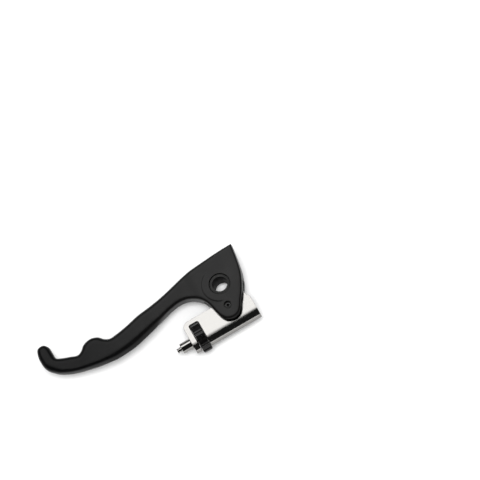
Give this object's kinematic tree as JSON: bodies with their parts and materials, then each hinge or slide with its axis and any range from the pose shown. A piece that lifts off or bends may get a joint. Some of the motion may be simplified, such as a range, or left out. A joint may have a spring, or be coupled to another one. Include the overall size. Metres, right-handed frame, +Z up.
{
  "type": "motorcycle clutch lever with reach adjuster",
  "caption": "Hooked clutch lever with a finger bump, pivoting on a bent steel carrier whose ribbed adjuster wheel and screw set the reach.",
  "frame": {"origin": "on the pivot axis, at the middle of the head's thickness", "axes": "+X inboard along the adjuster screw, +Y forward to the finger side, +Z up along the pivot axis"},
  "size_m": [0.1751, 0.07, 0.0234],
  "materials": {
    "black_anodised": "satin black anodised",
    "polished_stainless": "polished",
    "black_wheel": "black coated, ribbed",
    "dark_steel": "black oxide",
    "spring_steel": "bright drawn",
    "black_rubber": "matt",
    "black_acetal": "turned acetal",
    "brass": "turned"
  },
  "bodies": {
    "lever": {"lever_body": "black_anodised", "pivot_sleeve": "dark_steel", "upper_pivot_seal": "black_rubber", "lower_pivot_seal": "black_rubber", "upper_slot_washer": "black_acetal", "lower_slot_washer": "black_acetal", "lower_thrust_washer": "black_acetal", "sleeve_circlip": "dark_steel", "stop_pin": "dark_steel"},
    "carrier": {"carrier_bracket": "polished_stainless", "outboard_screw_bush": "black_acetal", "inboard_screw_bush": "black_acetal", "push_block": "dark_steel", "outboard_bush_screw": "dark_steel", "inboard_bush_screw": "dark_steel", "push_block_screw": "dark_steel", "detent_ball": "spring_steel", "detent_spring": "spring_steel", "backlash_spring": "spring_steel"},
    "adjuster": {"adjuster_screw": "polished_stainless", "adjuster_wheel": "black_wheel", "wheel_grub_screw": "dark_steel", "outboard_thrust_washer": "dark_steel", "inboard_thrust_washer": "dark_steel"},
    "trunnion": {"trunnion_nut": "brass"}
  },
  "joints": [
    {"name": "carrier_pivot", "type": "hinge", "parent": "lever", "child": "carrier", "pos_m": [0, 0, 0], "axis": [0, 0, 1], "range_deg": [-4.2, 4.2], "deforming": ["backlash_spring"]},
    {"name": "adjuster_spin", "type": "hinge", "parent": "carrier", "child": "adjuster", "pos_m": [-0.0332, -0.0273, -0.0045], "axis": [1, 0, 0], "range_deg": [-720, 720]},
    {"name": "trunnion_swivel", "type": "hinge", "parent": "lever", "child": "trunnion", "pos_m": [-0.003, -0.0273, -0.0045], "axis": [0, 0, 1], "range_deg": [-4.2, 4.2]}
  ],
  "couplings": [
    {"joint": "carrier_pivot", "follows": "adjuster_spin", "ratio": 0.00583},
    {"joint": "trunnion_swivel", "follows": "adjuster_spin", "ratio": 0.00583}
  ]
}
